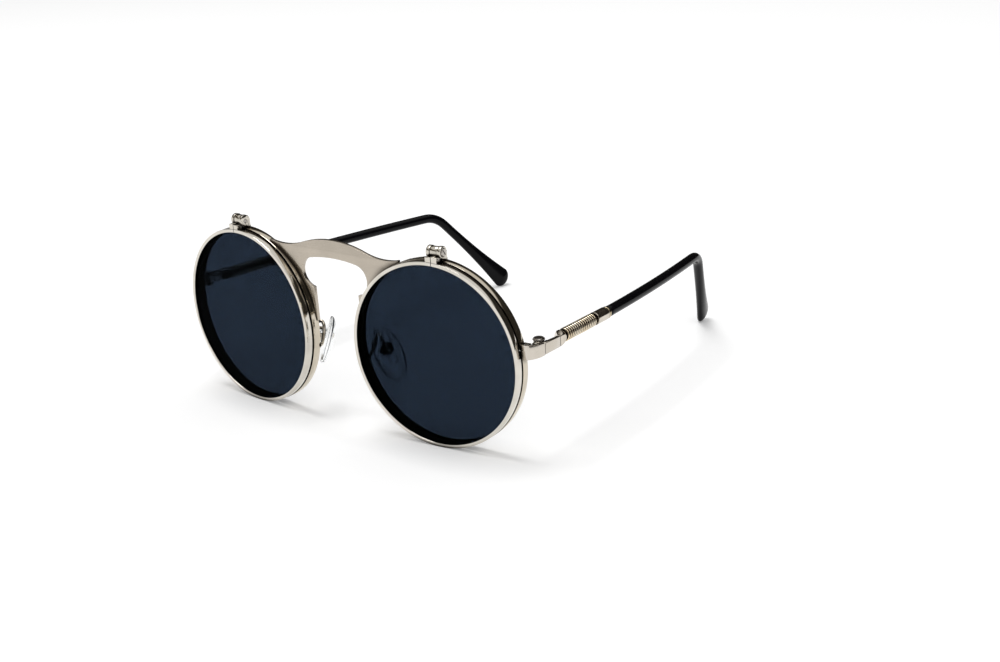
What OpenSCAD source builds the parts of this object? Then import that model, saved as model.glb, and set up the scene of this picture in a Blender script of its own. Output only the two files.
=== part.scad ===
// Flip-up sunglasses with round lenses, wire-wound temples and black ear tips.
// Sizes are in millimetres. +X is the wearer's left, +Y runs back towards the ears, +Z is up.
// The origin is the middle of the footprint, on the surface that the glasses stand on.

/* [Front] */
// Distance between the two lens centres
lens_pitch = 70; // [64:0.5:76]
// Angle at which each lens sweeps back from the bridge
wrap = 5.2; // [0:0.1:8]
// Angle at which the top of the front leans forward
lean = 2; // [0:0.1:5]

/* [Lenses and rims] */
// Clear opening of a rim
opening_d = 50.2; // [46:0.1:54]
// Depth of the groove that holds the edge of a lens
groove_depth = 0.6; // [0.4:0.05:0.8]
// Running clearance of a lens in its groove
lens_fit = 0.05; // [0.02:0.01:0.1]
// Thickness of a tinted flip-up lens
flip_lens_t = 1; // [0.8:0.1:1.2]
// Thickness of a clear rear lens
rear_lens_t = 1.2; // [0.8:0.1:1.6]
// Face width of a flip-up rim
flip_rim_w = 1; // [0.9:0.05:1.6]
// Depth of a flip-up rim from front to back
flip_rim_t = 2; // [1.7:0.05:2.6]
// Face width of a rear rim
rear_rim_w = 1.1; // [0.95:0.05:1.8]
// Depth of a rear rim from front to back
rear_rim_t = 2.45; // [2.1:0.05:3.2]
// Air gap between a flip-up rim and the rear rim behind it
rim_gap = 0.45; // [0.3:0.05:0.8]
// Bevel along the edges of the rims
rim_bevel = 0.15; // [0.05:0.05:0.2]
// Width of the slit where a rim opens to take its lens
rim_slit = 0.2; // [0.1:0.05:0.3]

/* [Bridge plate] */
// Thickness of the plate
plate_t = 1; // [0.6:0.1:1.4]
// Distance of the plate's front face behind the middle of the flip-up rims
plate_y = 1.9; // [1.5:0.1:2.3]
// Height of the crown above the lens centres
crown_h = 26.9; // [26:0.1:28]
// Radius of the crown's convex top edge
crown_r = 36; // [30:1:44]
// Radius of the hollow where the top edge runs down to a rim
flare_r = 22; // [18:1:26]
// Distance of the lowest point of that hollow inside the lens centre
flare_in = 16.3; // [15.6:0.1:17]
// Distance of the plate's end over a rim inside the lens centre
plate_in = 11.2; // [10:0.1:12.5]
// Radius of the nose opening's upper edge
arch_r = 48; // [36:1:60]
// Radius of the round ears of the nose opening
notch_r = 4.4; // [4:0.1:4.8]
// Distance of their middles inside the edge of the nose opening
notch_in = 0.7; // [0.4:0.1:1]
// Width of the plate between a round ear and the rear rim
plate_neck = 1.5; // [1:0.1:2]
// Least width of a leg between the nose opening and the rear rim
leg_w = 0.5; // [0.4:0.05:0.8]
// Height of the lower end of the legs above the lens centres
leg_z = 2.4; // [1:0.1:4]

/* [Flip-up hinges] */
// Distance of a hinge's middle from its lens centre, towards the temple
hinge_u = 1.6; // [0:0.1:3]
// Width of a hinge over its two outer knuckles
hinge_w = 4.3; // [4:0.1:5.6]
// Width of the middle knuckle
barrel_w = 2.2; // [2:0.1:2.6]
// Diameter of the middle knuckle
barrel_d = 3.1; // [2.8:0.1:3.4]
// Diameter of the outer knuckles
knuckle_d = 3.4; // [3.1:0.1:3.6]
// Diameter of the hinge pin
pin_d = 1; // [0.8:0.05:1.2]
// Diameter of the pin's head
pin_head_d = 2.4; // [2:0.1:3]
// Height of the pin's head
pin_head_h = 0.35; // [0.3:0.05:0.8]
// Radial clearance of the pins and screws in their bores
pin_fit = 0.04; // [0.02:0.01:0.08]
// Side clearance between two knuckles
knuckle_gap = 0.06; // [0.05:0.01:0.1]
// Thickness of the foot under the hinge
foot_t = 0.25; // [0.2:0.05:0.4]
// Air between that foot and the middle knuckle
foot_gap = 0.25; // [0.15:0.05:0.4]
// Distance of the hinge axis behind the rear rim's front edge
hinge_setback = 0.55; // [0.3:0.05:0.8]
// Distance of the foot's front face behind that edge
foot_step = 0.3; // [0.1:0.05:0.5]
// Angle at which the flip on the wearer's right stands open
ajar = 0; // [0:0.5:8]

/* [Flip-up rim locks] */
// Width of the two lock halves together
lock_w = 3.6; // [3.2:0.1:4.4]
// Height of the lock above its rim
lock_h = 1.3; // [1.1:0.1:1.5]
// Distance of the lock's faces inside the faces of its rim
lock_inset = 0.1; // [0.05:0.05:0.2]
// Diameter of the lock screws
lock_screw_d = 0.8; // [0.6:0.05:0.9]
// Diameter of a lock screw's head
lock_head_d = 1.1; // [0.9:0.05:1.2]
// Height of a lock screw's head
lock_head_h = 0.3; // [0.2:0.05:0.4]

/* [End pieces] */
// Distance of a temple hinge's axis outside its lens centre
temple_hinge_out = 26.9; // [26.6:0.05:27.2]
// Distance of that axis behind the middle of the flip-up rims
temple_hinge_y = 10.5; // [9.5:0.1:12]
// Height of the temples above the lens centres at the hinge
temple_z = 4.65; // [3:0.05:6]
// Thickness of the end piece strip
strip_t = 1.3; // [1:0.1:1.5]
// Height of the strip at its front corner
strip_h = 3.9; // [3.6:0.1:4.4]
// Outer radius of the corner
corner_r = 5.7; // [5:0.1:6.4]
// Reach of the corner in front of the seam
corner_reach = 4.7; // [4.2:0.1:5]
// Distance of the end piece's seam in front of the hinge axis
seam_y = 1.4; // [1.2:0.1:1.8]
// Width of the seam between the end piece and the temple
seam_gap = 0.25; // [0.15:0.05:0.4]
// Width of the rear lock halves
rear_lock_w = 2.2; // [2:0.1:2.6]
// Depth of the rear lock halves
rear_lock_t = 1.5; // [1.4:0.1:1.6]
// Height of both rear lock halves together
rear_lock_h = 3.2; // [2.8:0.1:3.6]

/* [Temple hinges] */
// Diameter of the knuckles
temple_knuckle_d = 2.9; // [2.6:0.1:3.1]
// Air between the knuckles and the inner face of the temple bar
temple_knuckle_air = 0.15; // [0.1:0.05:0.3]
// Height of the three knuckles together
temple_hinge_h = 3.3; // [3:0.1:3.6]
// Height of the middle knuckle
tongue_h = 1.1; // [0.9:0.05:1.3]
// Diameter of the hinge screw
temple_screw_d = 1.2; // [1:0.1:1.4]
// Diameter of the hinge screw's head
screw_head_d = 3.3; // [2.8:0.1:3.5]
// Height of the hinge screw's head
screw_head_h = 0.6; // [0.4:0.1:0.8]
// Length of the tongue along the temple bar
tongue_len = 3.5; // [2.8:0.1:4.5]

/* [Temples] */
// Inward angle of the temples
toe = 2.9; // [0:0.1:6]
// Downward angle of the temples
pitch_down = 0.6; // [0:0.1:2]
// Thickness of the flat bar
bar_t = 1.2; // [1:0.1:1.5]
// Height of the bar's top edge above the hinge's middle
bar_top = 1.53; // [1.4:0.01:1.7]
// Height of the bar at its front end
bar_h = 3.18; // [2.9:0.02:3.4]
// Height of the bar at its rear end
bar_rear_h = 2.9; // [2.6:0.02:3.1]
// Distance of the bar's rear end behind the hinge axis
bar_end = 6; // [5.5:0.1:8]
// Width of the butt seam between the bar and the core
butt_gap = 0.15; // [0.1:0.05:0.3]
// Length of the block in which the flat bar turns into a round rod
block_len = 3; // [2.4:0.1:4]
// Diameter of the core's round ends
core_d = 3.7; // [3.5:0.1:4]
// Diameter of the rod inside the coil
rod_d = 2.3; // [2:0.05:2.35]
// Diameter of the tenon that joins the core to the bar
tenon_d = 0.7; // [0.5:0.05:0.8]
// Length of the tenon inside the bar
tenon_len = 2; // [1.5:0.1:2.4]
// Length of the coil from block to shoulder
coil_len = 16.7; // [16.6:0.05:18]
// Number of turns of the coil
coil_turns = 15; // [12:1:15]
// Diameter of the coil's wire
coil_wire = 0.52; // [0.4:0.01:0.54]
// Length of the plain shoulder behind the coil
shoulder_len = 6; // [5:0.1:8]
// Diameter of the collar in front of the black sleeve
collar_d = 3.5; // [3.2:0.1:3.7]
// Length of the collar
collar_len = 0.8; // [0.5:0.1:1.2]

/* [Ear tips] */
// Diameter of the sleeve
sleeve_d = 3.1; // [2.9:0.1:3.4]
// Diameter of the wire inside the sleeve
wire_d = 1.3; // [1:0.1:1.5]
// Distance of the bend behind the hinge axis
bend_y = 97.7; // [92:0.1:104]
// Inward turn of the sleeve where it leaves the collar
sleeve_turn = 1.5; // [0:0.1:3]
// Radius of the sleeve's inward bow
bow_r = 600; // [450:10:1200]
// Length of leg that the bend takes up on each side of its corner
bend_len = 5; // [4:0.1:8]
// Angle at which the leg drops below the temple
leg_drop = 46.3; // [40:0.1:60]
// Inward angle of the leg
leg_toe = 22.2; // [10:0.1:30]
// Width of the ear tip's paddle
paddle_w = 7.2; // [6:0.1:8]
// Thickness of the paddle
paddle_t = 3; // [2.6:0.1:3.2]
// Length of the rounded end of the paddle
paddle_round = 3; // [2.4:0.1:3.6]

/* [Nose pads] */
// Length of a pad
pad_len = 15.5; // [13:0.1:17]
// Width of a pad
pad_w = 8; // [7:0.1:9]
// Thickness of a pad
pad_t = 2; // [1.6:0.1:2.4]
// Distance of the pad's screw behind its back face
pad_standoff = 1.9; // [1.7:0.05:2.4]
// Height of the pad's screw above the middle of the pad
pad_screw_z = 1.7; // [0:0.1:3]
// Diameter of the pad's screw
pad_screw_d = 0.7; // [0.6:0.05:0.8]
// Outer width of the pad's box
box_w = 3.6; // [3.4:0.1:4]
// Height of the pad's box
box_h = 2.6; // [2.2:0.1:3]
// Thickness of the walls of the pad's box
box_wall = 0.45; // [0.35:0.05:0.55]
// Side clearance of the pad's stem in its box
stem_gap = 0.2; // [0.15:0.05:0.3]
// Height of the pad's stem
stem_h = 1.6; // [1.4:0.1:1.8]
// Diameter of the wire that carries a pad
arm_d = 1; // [0.8:0.1:1]

/* [Hidden] */
SIDES = [["left", 1], ["right", -1]];
SIDE_PARTS = ["rear_rim", "rear_lens", "end_piece", "rear_lock", "rear_lock_screw", "hinge_fork",
    "temple_screw", "flip_base", "flip_pin", "pad_arm", "pad_box", "pad_screw",
    "flip_rim", "flip_lens", "flip_leaf", "flip_lock", "flip_lock_screw",
    "hinge_tongue", "temple_bar", "temple_core", "temple_coil", "temple_collar", "temple_wire",
    "ear_tip", "nose_pad"];
$fn = 240;
// How far a cut runs past what it cuts, and how deep joined forms sink into each other
cut_past = 1;
joined = 0.3;
// Slot of a screw, as shares of its head's width and height
slot_share = 0.14;
slot_depth_share = 0.4;

// Rims
opening_r = opening_d / 2;
groove_r = opening_r + groove_depth;
flip_r = opening_r + flip_rim_w;
rear_r = opening_r + rear_rim_w;
rear_d = flip_rim_t + rim_gap;
rear_back_d = rear_d + rear_rim_t;
through = 3 * flip_r;

// Flip-up hinges: the axis in a lens's own frame
hinge_d = rear_d + hinge_setback;
hinge_v = sqrt(rear_r ^ 2 - hinge_u ^ 2) + foot_t + foot_gap + barrel_d / 2;
opening_top = opening_r - hinge_v;
foot_front = foot_step - hinge_setback;
lock_front = lock_inset - hinge_d;
lock_back = flip_rim_t - lock_inset - hinge_d;
lock_top = flip_r + lock_h - hinge_v;
lock_swing_r = knuckle_d / 2 + foot_gap;
lock_screw_y = (lock_front + lock_back) / 2;
lock_screw_z = lock_top - lock_h / 2;

// Temples: everything is set from the hinge axis
temple_hinge_x = lens_pitch / 2 + temple_hinge_out;
outer_x = temple_knuckle_d / 2 + temple_knuckle_air + bar_t;
strip_x = outer_x - strip_t;
corner_x = outer_x - corner_r;
front_y = -seam_y - corner_reach;
bar_front = seam_gap - seam_y;
bar_bottom = bar_top - bar_h;
bar_rear_top = bar_bottom + bar_rear_h;
block_y = bar_end + butt_gap;
coil_y = block_y + block_len;
shoulder_y = coil_y + coil_len;
collar_y = shoulder_y + shoulder_len;
sleeve_y = collar_y + collar_len;
core_x = outer_x - core_d / 2;
bar_mid_x = outer_x - bar_t / 2;
bar_rear_mid = (bar_bottom + bar_rear_top) / 2;

// Unit vectors and turns
function unit(v) = v / norm(v);
function turn_x(p, a) = [p.x, p.y * cos(a) - p.z * sin(a), p.y * sin(a) + p.z * cos(a)];
function turn_y(p, a) = [p.x * cos(a) + p.z * sin(a), p.y, -p.x * sin(a) + p.z * cos(a)];
function turn_z(p, a) = [p.x * cos(a) - p.y * sin(a), p.x * sin(a) + p.y * cos(a), p.z];
function turned(p, a) = turn_z(turn_y(turn_x(p, a.x), a.y), a.z);

// A closed tube through rings of points, with flat ends
function tube_faces(rings, sides) = concat(
    [for (i = [0 : rings - 2]) for (j = [0 : sides - 1]) for (half = [0, 1])
        let (a = i * sides + j, b = i * sides + (j + 1) % sides)
        half == 0 ? [a, b + sides, b] : [a, a + sides, b + sides]],
    [for (j = [1 : sides - 2]) [0, j, j + 1]],
    [for (j = [1 : sides - 2]) let (last = (rings - 1) * sides) [last, last + j + 1, last + j]]);
module tube(rings, sides) {
    polyhedron([for (ring = rings) for (p = ring) p], tube_faces(len(rings), sides), 4);
}
function tangent(path, i) = unit(path[min(i + 1, len(path) - 1)] - path[max(i - 1, 0)]);
function across(side_way, t) = unit(side_way - (side_way * t) * t);
// One elliptical ring about a point: half sizes run across and up
function ellipse_ring(p, t, side_way, half, sides) =
    let (n = across(side_way, t), w = cross(t, n))
    [for (k = [0 : sides - 1]) p + half.x * cos(360 * k / sides) * n + half.y * sin(360 * k / sides) * w];

// Coil: worked out on the unrolled cylinder of its wire's centre line, then wrapped
coil_r = core_d / 2 - coil_wire / 2;
coil_bend = coil_wire;
coil_run = coil_len - 2 * (coil_wire + coil_bend);
coil_steps = 8 * coil_turns;
coil_line = coil_turns * 2 * PI * coil_r;
coil_flat_start = [for (s = [0 : 3]) let (a = 180 - s * 30)
    [coil_bend + coil_bend * cos(a), coil_wire + coil_bend * sin(a)]];
coil_flat_end = [for (s = [0 : 3]) let (a = 270 + s * 30)
    [coil_bend + coil_line + coil_bend * cos(a), coil_len - coil_wire + coil_bend * sin(a)]];
coil_flat = concat([[0, 0]], coil_flat_start,
    [for (s = [1 : coil_steps - 1])
        [coil_bend + coil_line * s / coil_steps,
            coil_wire + coil_bend + coil_run * s / coil_steps]],
    coil_flat_end, [[coil_bend * 2 + coil_line, coil_len]]);
coil_start_angle = 200;
function on_coil(q) = let (a = coil_start_angle + q.x / coil_r * 180 / PI)
    [coil_r * cos(a), q.y, coil_r * sin(a)];
coil_path = [for (q = coil_flat) on_coil(q)];
coil_ring_skip = 5;
coil_gap = min([for (i = [0 : len(coil_path) - 1]) for (j = [i + coil_ring_skip : 1 : len(coil_path) - 1])
    norm(coil_path[i] - coil_path[j])]) - coil_wire;
echo(coil_gap = coil_gap);

// Ear tip: a bowed sleeve, a bend at its corner and a straight leg, from the hinge axis
function sleeve_point(y) = let (run = y - sleeve_y)
    [core_x - run * tan(sleeve_turn) - run ^ 2 / (2 * bow_r), y, 0];
leg_way = [-sin(leg_toe) * cos(leg_drop), cos(leg_toe) * cos(leg_drop), -sin(leg_drop)];
bend_corner = sleeve_point(bend_y);
bend_start = sleeve_point(bend_y - bend_len);
bend_end = bend_corner + bend_len * leg_way;
function bend_point(t) = (1 - t) ^ 2 * bend_start + 2 * t * (1 - t) * bend_corner + t ^ 2 * bend_end;
// The leg ends where the rounded paddle meets the surface that the rims stand on
rear_low = rear_r * sqrt((sin(wrap) * sin(lean)) ^ 2 + cos(lean) ^ 2) - rear_d * cos(wrap) * sin(lean);
flip_low = flip_r * sqrt((sin(wrap) * sin(lean)) ^ 2 + cos(lean) ^ 2);
centre_z = max(rear_low, flip_low);
leg_up = turn_x(cross(leg_way, across([1, 0, 0], leg_way)), -pitch_down);
leg_down = turn_x(leg_way, -pitch_down);
paddle_reach = sqrt((paddle_w / 2 * leg_up.z) ^ 2 + (paddle_round * leg_down.z) ^ 2);
bend_height = centre_z + temple_z + turn_x(bend_end, -pitch_down).z;
leg_len = (bend_height - paddle_reach) / -leg_down.z;
function leg_point(t) = bend_end + t * leg_len * leg_way;
sleeve_steps = 12;
bend_steps = 7;
leg_steps = 6;
tip_path = concat(
    [for (s = [0 : sleeve_steps - 1])
        sleeve_point(sleeve_y + s * (bend_y - bend_len - sleeve_y) / sleeve_steps)],
    [for (s = [0 : bend_steps - 1]) bend_point(s / bend_steps)],
    [for (s = [0 : leg_steps]) leg_point(s / leg_steps)]);
leg_first = sleeve_steps + bend_steps;
function leg_share(i) = max(0, (i - leg_first) / leg_steps);
paddle_flare = 2.2;
function tip_half(i) = let (share = leg_share(i))
    [sleeve_d + (paddle_t - sleeve_d) * share, sleeve_d + (paddle_w - sleeve_d) * share ^ paddle_flare] / 2;
tip_sides = 16;
tip_end = tip_path[len(tip_path) - 1];
tip_round_angles = [20, 40, 60, 78];
tip_rings = concat(
    [for (i = [0 : len(tip_path) - 1])
        ellipse_ring(tip_path[i], i == 0 ? [0, 1, 0] : i > leg_first ? leg_way : tangent(tip_path, i),
            [1, 0, 0], tip_half(i), tip_sides)],
    [for (a = tip_round_angles)
        ellipse_ring(tip_end + paddle_round * sin(a) * leg_way, leg_way, [1, 0, 0],
            [paddle_t, paddle_w] / 2 * cos(a), tip_sides)]);
wire_sides = 8;
wire_path = concat([[core_x, collar_y, 0]], [for (i = [0 : leg_first + 3]) tip_path[i]]);
function wire_rings(path, d) = [for (i = [0 : len(path) - 1])
    ellipse_ring(path[i], i == 0 ? [0, 1, 0] : tangent(path, i), [1, 0, 0], [d, d] / 2, wire_sides)];
wire_bore_path = concat([for (i = [0 : len(wire_path) - 1]) wire_path[i]],
    [wire_path[len(wire_path) - 1] + wire_d / 2 * leg_way]);

// Where the whole model lies: its footprint's middle becomes the origin
function flip_y_min(a) = let (r = flip_r - rim_bevel)
    (hinge_d * (1 - cos(a)) - hinge_v * sin(a)) * cos(wrap) * cos(lean)
    - (hinge_v * (1 - cos(a)) + hinge_d * sin(a)) * sin(lean)
    - r * norm([sin(wrap) * cos(lean), sin(a) * cos(wrap) * cos(lean) - cos(a) * sin(lean)]);
function temple_to_front(p) = [temple_hinge_x, temple_hinge_y, temple_z]
    + turn_z(turn_x(p, -pitch_down), toe);
tip_y_max = max([for (ring = tip_rings) for (p = ring) temple_to_front(p).y]);
front_y_min = min(flip_y_min(0), flip_y_min(ajar));
middle_y = (front_y_min + tip_y_max) / 2;

// Nose pads: places in a lens's own frame, outward, back and up
pad_place = [-22, 10.25, -6];
pad_turn = [17.5, -17.5, -50.2];
pad_back_share = 0.45;
pad_back_x = pad_t * pad_back_share;
pad_screw_x = pad_back_x + pad_standoff;
stem_w = box_w - 2 * (box_wall + stem_gap);
box_mouth = 0.2;
box_front_x = pad_screw_x - box_h / 2 + box_mouth;
box_back_x = pad_screw_x + box_h / 2;
function pad_to_lens(p) = pad_place + turned(p, pad_turn);
arm_root_r = (opening_r + rear_r) / 2;
arm_root_v = -5.2;
arm_root = [-sqrt(arm_root_r ^ 2 - arm_root_v ^ 2), rear_back_d, arm_root_v];
arm_end = pad_to_lens([box_back_x, 0, pad_screw_z]);
arm_end_way = pad_to_lens([0, 0, 0]) - pad_to_lens([1, 0, 0]);
arm_lead = 0.9;
arm_knots = [arm_root, arm_root + [0, arm_d, 0], [-24.7, 7.2, -3], [-24.3, 8, -0.6], [-23.4, 8.1, 0.5],
    [-22.2, 7.6, 0.2], [-21, 6.9, -1.3], arm_end - arm_lead * arm_end_way, arm_end];
arm_per_knot = 4;
function knot(i) = arm_knots[max(0, min(len(arm_knots) - 1, i))];
function curve_point(i, t) = 0.5 * (2 * knot(i) + t * (knot(i + 1) - knot(i - 1))
    + t ^ 2 * (2 * knot(i - 1) - 5 * knot(i) + 4 * knot(i + 1) - knot(i + 2))
    + t ^ 3 * (3 * knot(i) - knot(i - 1) - 3 * knot(i + 1) + knot(i + 2)));
arm_path = concat([for (i = [0 : len(arm_knots) - 2]) for (s = [0 : arm_per_knot - 1])
        curve_point(i, s / arm_per_knot)],
    [arm_end]);
arm_sides = 8;
arm_last = len(arm_path) - 1;
arm_rings = [for (i = [0 : arm_last])
    ellipse_ring(arm_path[i], i == 0 ? [0, 1, 0] : i == arm_last ? arm_end_way : tangent(arm_path, i),
        [0.2, 0.1, 1], [arm_d, arm_d] / 2, arm_sides)];
pad_stations = 12;
pad_sides = 12;
pad_ends = 0.97;
pad_fullness = 0.8;
// A pad's outline is fuller than an ellipse, and its nose side is rounder than its back
function pad_ring(s) = let (z = pad_len / 2 * sin(s), k = abs(cos(s)) ^ pad_fullness)
    [for (j = [0 : pad_sides - 1]) let (a = 360 * j / pad_sides)
        [(cos(a) > 0 ? pad_back_x : pad_t - pad_back_x) * cos(a) * k, pad_w / 2 * sin(a) * k, z]];
pad_rings = [for (i = [0 : pad_stations]) pad_ring(asin(pad_ends) * (2 * i / pad_stations - 1))];

// Frames: the whole model, one lens, one flip, one temple, one pad
module model_frame(side) {
    translate([0, -middle_y, centre_z]) mirror([side < 0 ? 1 : 0, 0, 0]) children();
}
module lens_frame(side) {
    model_frame(side) rotate([lean, 0, 0]) translate([lens_pitch / 2, 0, 0]) rotate([0, 0, wrap]) children();
}
module hinge_frame(side, open = 0) {
    lens_frame(side) translate([hinge_u, hinge_d, hinge_v]) rotate([-open, 0, 0]) children();
}
module flip_frame(side) {
    hinge_frame(side, side < 0 ? ajar : 0) children();
}
module temple_frame(side) {
    model_frame(side) translate([temple_hinge_x, temple_hinge_y, temple_z]) rotate([0, 0, toe]) children();
}
module sloped_frame(side) {
    temple_frame(side) rotate([-pitch_down, 0, 0]) children();
}
module pad_frame(side) {
    lens_frame(side) translate(pad_place) rotate(pad_turn) children();
}
// A cylinder along X or along Y, from its start
module bar_x(d, h) { rotate([0, 90, 0]) cylinder(d = d, h = h); }
module bar_y(d, h) { rotate([-90, 0, 0]) cylinder(d = d, h = h); }
// A box from its low corner to its high corner
module block(low, high) { translate(low) cube(high - low); }
// A round stock with bevelled edges, cut out to a ring with a groove inside, front face at zero
module rim(outer_r, depth, lens_t) {
    groove_half = lens_t / 2 + lens_fit;
    rotate([-90, 0, 0]) rotate_extrude() polygon([
        [opening_r + rim_bevel, 0], [outer_r - rim_bevel, 0], [outer_r, rim_bevel],
        [outer_r, depth - rim_bevel], [outer_r - rim_bevel, depth], [opening_r + rim_bevel, depth],
        [opening_r, depth - rim_bevel], [opening_r, depth / 2 + groove_half],
        [groove_r, depth / 2 + groove_half], [groove_r, depth / 2 - groove_half],
        [opening_r, depth / 2 - groove_half], [opening_r, rim_bevel]]);
}
module slotted_head(d, h) {
    difference() {
        cylinder(d = d, h = h);
        translate([-d, -d * slot_share / 2, h * (1 - slot_depth_share)]) cube([2 * d, d * slot_share, h]);
    }
}

// Bridge plate between the two rear rims
leg_x = lens_pitch / 2 - rear_r - leg_w;
notch_x = leg_x - notch_in;
flare_x = lens_pitch / 2 - flare_in;
plate_half_w = lens_pitch / 2 - plate_in;
crown_z = crown_h - crown_r;
flare_z = crown_z + sqrt((crown_r + flare_r) ^ 2 - flare_x ^ 2);
crown_end_x = flare_x * crown_r / (crown_r + flare_r);
notch_z = sqrt((rear_r + plate_neck + notch_r) ^ 2 - (lens_pitch / 2 - notch_x) ^ 2);
arch_z = notch_z - sqrt((arch_r - notch_r) ^ 2 - notch_x ^ 2);
module plate_half_outline() {
    difference() {
        union() {
            intersection() {
                translate([0, leg_z]) square([crown_end_x, crown_h]);
                translate([0, crown_z]) circle(crown_r);
            }
            difference() {
                translate([crown_end_x, leg_z]) square([plate_half_w - crown_end_x, crown_h - leg_z]);
                translate([flare_x, flare_z]) circle(flare_r);
            }
        }
        intersection() {
            translate([-notch_x, 0]) square([2 * notch_x, crown_h]);
            translate([0, arch_z]) circle(arch_r);
        }
        translate([notch_x, notch_z]) circle(notch_r);
        square([leg_x, notch_z]);
    }
}
module bridge_plate() color("tan") difference() {
    model_frame(1) rotate([lean, 0, 0]) translate([0, plate_y + plate_t, 0]) rotate([90, 0, 0])
        linear_extrude(plate_t) union() {
            plate_half_outline();
            mirror([1, 0]) plate_half_outline();
        }
    for (s = SIDES) lens_frame(s[1]) translate([0, -through / 2, 0]) bar_y(2 * rear_r, through);
}

// Rear rims, their clear lenses and the locks that close them
module rear_slit() {
    block([corner_x - rear_rim_w, front_y - cut_past, -rim_slit / 2], [strip_x + cut_past, 0, rim_slit / 2]);
}
module rear_rim(side) color("silver") difference() {
    lens_frame(side) translate([0, rear_d, 0]) rim(rear_r, rear_rim_t, rear_lens_t);
    temple_frame(side) rear_slit();
}
module rear_lens(side) color("aliceblue", 0.3) lens_frame(side)
    translate([0, rear_d + rear_rim_t / 2 - rear_lens_t / 2, 0]) bar_y(2 * (groove_r - lens_fit), rear_lens_t);
lock_x = corner_x + sqrt((corner_r - strip_t) ^ 2 - (corner_reach - strip_t) ^ 2);
rear_lock_y = front_y + strip_t;
lock_air = 0.06;
rear_screw_shift = 0.25;
rear_screw_x = lock_x - rear_lock_w / 2 + rear_screw_shift;
rear_screw_y = rear_lock_y + rear_lock_t / 2;
module rear_lock_half(low, high) {
    block([lock_x - rear_lock_w, rear_lock_y, low], [lock_x, rear_lock_y + rear_lock_t, high]);
}
module rear_screw_bore(side) {
    temple_frame(side) translate([rear_screw_x, rear_screw_y, -rear_lock_h])
        cylinder(d = lock_screw_d + 2 * pin_fit, h = 2 * rear_lock_h);
}
module rim_space(side) { lens_frame(side) translate([0, -through / 2, 0]) bar_y(2 * rear_r, through); }
module strip_outline() {
    difference() {
        intersection() {
            translate([corner_x, -seam_y]) circle(corner_r);
            translate([lock_x - rear_lock_w, front_y]) square([2 * corner_r, corner_reach]);
        }
        intersection() {
            translate([corner_x, -seam_y]) circle(corner_r - strip_t);
            translate([corner_x, front_y + strip_t]) square(2 * corner_r);
        }
    }
}
strip_drop_share = 0.6;
module end_piece(side) color("silver") difference() {
    temple_frame(side) union() {
        intersection() {
            translate([0, 0, -strip_h]) linear_extrude(2 * strip_h) strip_outline();
            rotate([90, 0, 90]) translate([0, 0, -corner_r]) linear_extrude(3 * corner_r)
                polygon([[front_y, bar_bottom - (strip_h - bar_h) * strip_drop_share], [-seam_y, bar_bottom],
                    [-seam_y, bar_top], [front_y, bar_top + (strip_h - bar_h) * (1 - strip_drop_share)]]);
        }
        rear_lock_half(rim_slit / 2, rear_lock_h / 2);
    }
    rim_space(side);
    rear_screw_bore(side);
}
module rear_lock(side) color("gray") difference() {
    temple_frame(side) translate([0, lock_air, 0]) rear_lock_half(-rear_lock_h / 2, -rim_slit / 2);
    rim_space(side);
    rear_screw_bore(side);
}
module rear_lock_screw(side) color("dimgray") temple_frame(side)
    translate([rear_screw_x, rear_screw_y, rear_lock_h / 2]) mirror([0, 0, 1]) {
        cylinder(d = lock_screw_d, h = rear_lock_h);
        translate([0, 0, rear_lock_h]) slotted_head(lock_head_d, lock_head_h);
    }

// Temple hinges: a fork on the end piece, a tongue on the bar and one screw
fork_x = outer_x - bar_t - temple_knuckle_air / 2;
fork_air = 0.1;
fork_root = 0.8;
tongue_air = 0.2;
fork_y = rear_lock_y + rear_lock_t + fork_air;
module fork_space() {
    translate([corner_x, -seam_y, -strip_h]) cylinder(r = corner_r - strip_t, h = 2 * strip_h);
}
module fork_knuckle(low, high) {
    difference() {
        union() {
            translate([0, 0, low]) cylinder(d = temple_knuckle_d, h = high - low);
            intersection() {
                block([0, -seam_y - fork_root, low], [fork_x, 0, high]);
                union() {
                    fork_space();
                    block([0, -seam_y, low], [fork_x, 0, high]);
                }
            }
        }
        translate([0, 0, low - cut_past])
            cylinder(d = temple_screw_d + 2 * pin_fit, h = high - low + 2 * cut_past);
    }
}
module hinge_fork(side) color("silver") temple_frame(side) {
    fork_knuckle(-temple_hinge_h / 2, -tongue_h / 2 - knuckle_gap);
    fork_knuckle(tongue_h / 2 + knuckle_gap, temple_hinge_h / 2);
    intersection() {
        block([0, fork_y, -temple_hinge_h / 2],
            [outer_x, -temple_knuckle_d / 2 - tongue_air, temple_hinge_h / 2]);
        fork_space();
    }
}
module hinge_tongue(side) color("silver") temple_frame(side) difference() {
    union() {
        translate([0, 0, -tongue_h / 2]) cylinder(d = temple_knuckle_d, h = tongue_h);
        block([0, 0, -tongue_h / 2], [outer_x - bar_t, tongue_len, tongue_h / 2]);
    }
    translate([0, 0, -tongue_h]) cylinder(d = temple_screw_d + 2 * pin_fit, h = 2 * tongue_h);
}
module temple_screw(side) color("gray") temple_frame(side) {
    translate([0, 0, -temple_hinge_h / 2]) cylinder(d = temple_screw_d, h = temple_hinge_h);
    translate([0, 0, temple_hinge_h / 2]) slotted_head(screw_head_d, screw_head_h);
}

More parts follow.
